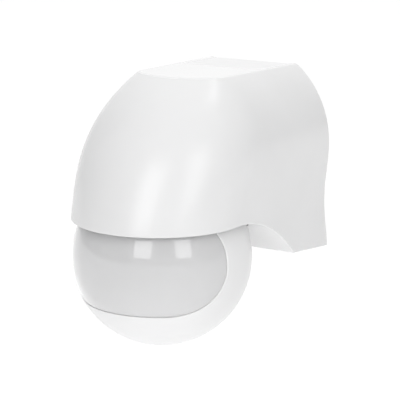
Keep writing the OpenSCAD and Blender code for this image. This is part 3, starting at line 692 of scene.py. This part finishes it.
# Each material slot of the record, plus the land's finer grain: colour, roughness and what else it has
FINISHES = {
    "white_housing": ((0.664, 0.664, 0.667), 0.25, {}),
    "fine_grain": ((0.68, 0.68, 0.683), 0.42, {"grain": 1500, "bump": 0.05}),
    "white_head": ((0.69, 0.69, 0.693), 0.30, {}),
    "milky_lens": ((0.553, 0.553, 0.558), 0.06,
                   {"bump": 0.01, "subsurface": 0.5, "sheen": 0.7, "specular": 0.75}),
    "milky_frame": ((0.6, 0.6, 0.61), 0.4, {}),
    "black_rubber": ((0.02, 0.02, 0.02), 0.7, {"bump": 0.1}),
    "zinc_screws": ((0.6, 0.61, 0.63), 0.3, {"metallic": 1.0}),
    "steel_pins": ((0.62, 0.62, 0.64), 0.2, {"metallic": 1.0}),
    "circuit_board": ((0.02, 0.14, 0.05), 0.35, {"variation": 0.1}),
    "relay_case": ((0.02, 0.06, 0.2), 0.4, {}),
    "film_capacitor_case": ((0.45, 0.22, 0.02), 0.35, {}),
    "capacitor_sleeve": ((0.01, 0.01, 0.06), 0.3, {}),
    "varistor_coating": ((0.01, 0.07, 0.3), 0.3, {"bump": 0.2}),
    "fuse_body": ((0.55, 0.5, 0.38), 0.35, {}),
    "black_moulding": ((0.015, 0.015, 0.016), 0.45, {}),
    "cream_nylon": ((0.72, 0.68, 0.55), 0.45, {}),
    "terminal_moulding": ((0.03, 0.03, 0.035), 0.45, {}),
    "brass_terminals": ((0.6, 0.4, 0.12), 0.3, {"metallic": 1.0}),
    "wire_insulation": ((0.2, 0.05, 0.02), 0.4, {}),
    "loom_sleeve": ((0.45, 0.45, 0.43), 0.6, {"bump": 0.3}),
    "grey_acetal": ((0.6, 0.6, 0.61), 0.4, {}),
    "slip_washer": ((0.7, 0.6, 0.3), 0.4, {}),
    "sensor_can": ((0.6, 0.56, 0.46), 0.3, {"metallic": 1.0}),
    "dark_filter": ((0.01, 0.008, 0.008), 0.1, {}),
    "red_led": ((0.5, 0.01, 0.01), 0.15, {}),
    "light_cell": ((0.35, 0.12, 0.04), 0.2, {}),
    "trimmer_case": ((0.02, 0.08, 0.35), 0.4, {}),
    "adjuster_knob": ((0.56, 0.56, 0.57), 0.38, {}),
}
MATERIALS = {name: moulded(name, colour, roughness, **more)
             for name, (colour, roughness, more) in FINISHES.items()}


def dress(obj, slot):
    """Gives an object the one material of a slot."""
    obj.data.materials.clear()
    obj.data.materials.append(MATERIALS[slot])


def dress_cad_nodes():
    """Material, smooth shading and crisp creases for every CAD node."""
    for row in frame["record"]["subparts"]:
        node = frame["nodes"][row["node"]]
        dress(node, row["material_slot"])
        node.data.shade_smooth()
        crisp = node.modifiers.new("crisp", "EDGE_SPLIT")
        crisp.split_angle = CREASE


def grain_land(hood):
    """Finer grain on the land's floor: the faces that look up from 0.1 to 1 mm below the flat top."""
    hood.data.materials.append(MATERIALS["fine_grain"])
    for face in hood.data.polygons:
        at = face.center / MM
        sunk = top_level(at.y) - at.z
        if face.normal.z > 0.9 and abs(at.x) < LAND_HALF_W + 0.5 and 0.1 < sunk < 1:
            face.material_index = 1


def add_piece(obj, body, slot, *nodes):
    """A made piece that stands for CAD nodes."""
    dress(obj, slot)
    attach(obj, body)
    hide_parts(*nodes)


dress_cad_nodes()
hood = build_hood()
add_piece(hood, "housing", "white_housing", "hood")
grain_land(hood)
add_piece(build_front_shell(), "head", "white_head", "front_shell")
add_piece(build_rear_shell(), "head", "white_head", "rear_shell")
add_piece(build_lens(), "head", "milky_lens", "lens")


# ---- Stage, light and camera, in metres ----

FLOOR_HALF = 40
FLOOR_Z = -0.6

# Soft panels: azimuth from the front, elevation, distance, width, height, watts and what they give.
# One that gives "surfaces" makes no reflections, and one that gives "reflections" lights no surfaces.
PANELS = {
    "left_softbox": (8, 26.5, 1.3, 0.50, 0.87, 3.75, "both"),
    "right_softbox": (61.5, 26.5, 1.3, 0.46, 0.87, 3.1, "both"),
    "low_panel": (30, -12, 0.9, 0.9, 0.3, 1.8, "surfaces"),
    "pale_wall": (35, 22, 1.7, 3.4, 1.45, 7.0, "reflections"),
    "top_softbox": (135, 68.5, 1.3, 0.34, 0.19, 0.75, "both"),
}
# Broad glow of the studio: azimuth from the front, elevation, strength
GLOWS = (
    (-60, 15, 0.17),
    (60, 15, 0.03),
    (120, 15, 0.2),
    (210, 15, 1.1),
    (0, 90, 1.5),
)

CAMERA_AZIMUTH = math.radians(31.9885)
CAMERA_ELEVATION = math.radians(12.656)
CAMERA_PLACE = (0.3102, -0.5336, 0.11815)
CAMERA_LENS = 151.5  # focal length in millimetres
CAMERA_FILM_WIDTH = 36  # in millimetres


def add_floor():
    """Wide pale floor below the sensor."""
    h = FLOOR_HALF
    mesh = bpy.data.meshes.new("floor")
    corners = [(-h, -h, FLOOR_Z), (h, -h, FLOOR_Z), (h, h, FLOOR_Z), (-h, h, FLOOR_Z)]
    mesh.from_pydata(corners, [], [(0, 1, 2, 3)])
    floor = bpy.data.objects.new("floor", mesh)
    bpy.context.scene.collection.objects.link(floor)
    mesh.materials.append(moulded("floor_paint", (0.95, 0.95, 0.95), 0.8, variation=0.0))


def facing(azimuth, elevation):
    """Direction from the sensor, by azimuth from its front and elevation in degrees."""
    a, e = math.radians(azimuth), math.radians(elevation)
    return Vector((math.sin(a) * math.cos(e), -math.cos(a) * math.cos(e), math.sin(e)))


def glowing_world():
    """World that is the sum of a soft round glow in each of the listed directions."""
    world = bpy.data.worlds.new("studio")
    world.use_nodes = True
    nodes, links = world.node_tree.nodes, world.node_tree.links
    place = nodes.new("ShaderNodeTexCoord")
    total = None
    for azimuth, elevation, strength in GLOWS:
        toward = nodes.new("ShaderNodeVectorMath")
        toward.operation = "DOT_PRODUCT"
        toward.inputs[1].default_value = facing(azimuth, elevation)
        links.new(place.outputs["Generated"], toward.inputs[0])
        clamp = nodes.new("ShaderNodeMath")
        clamp.operation = "MAXIMUM"
        clamp.inputs[1].default_value = 0
        links.new(toward.outputs["Value"], clamp.inputs[0])
        fall = nodes.new("ShaderNodeMath")
        fall.operation = "POWER"
        fall.inputs[1].default_value = 2
        links.new(clamp.outputs[0], fall.inputs[0])
        add = nodes.new("ShaderNodeMath")
        add.operation = "MULTIPLY_ADD"
        add.inputs[1].default_value = strength
        add.inputs[2].default_value = 0
        links.new(fall.outputs[0], add.inputs[0])
        if total:
            links.new(total, add.inputs[2])
        total = add.outputs[0]
    links.new(total, nodes["Background"].inputs["Strength"])
    nodes["Background"].inputs["Color"].default_value = (1, 1, 1, 1)
    return world


def add_panel(name, azimuth, elevation, distance, width, height, watts, gives):
    """Soft panel that faces the sensor's middle and that the camera doesn't see."""
    panel = bpy.data.lights.new(name, "AREA")
    panel.shape = "RECTANGLE"
    panel.size = width
    panel.size_y = height
    panel.energy = watts
    direction = facing(azimuth, elevation)
    lamp = bpy.data.objects.new(name, panel)
    lamp.location = (Vector(cad_box[0]) + Vector(cad_box[1])) / 2 + direction * distance
    lamp.rotation_euler = direction.to_track_quat("Z", "Y").to_euler()
    lamp.visible_camera = False
    lamp.visible_glossy = gives != "surfaces"
    lamp.visible_diffuse = gives != "reflections"
    bpy.context.scene.collection.objects.link(lamp)


def add_camera():
    """Camera at the photograph's viewing angle."""
    data = bpy.data.cameras.new("camera")
    data.lens = CAMERA_LENS
    data.sensor_width = CAMERA_FILM_WIDTH
    camera = bpy.data.objects.new("camera", data)
    camera.location = CAMERA_PLACE
    camera.rotation_euler = (math.pi / 2 - CAMERA_ELEVATION, 0, CAMERA_AZIMUTH)
    bpy.context.scene.collection.objects.link(camera)
    return camera


add_floor()
for panel_name, settings in PANELS.items():
    add_panel(panel_name, *settings)
bpy.context.scene.world = glowing_world()
bpy.context.scene.view_settings.view_transform = "Standard"
bpy.context.scene.camera = add_camera()
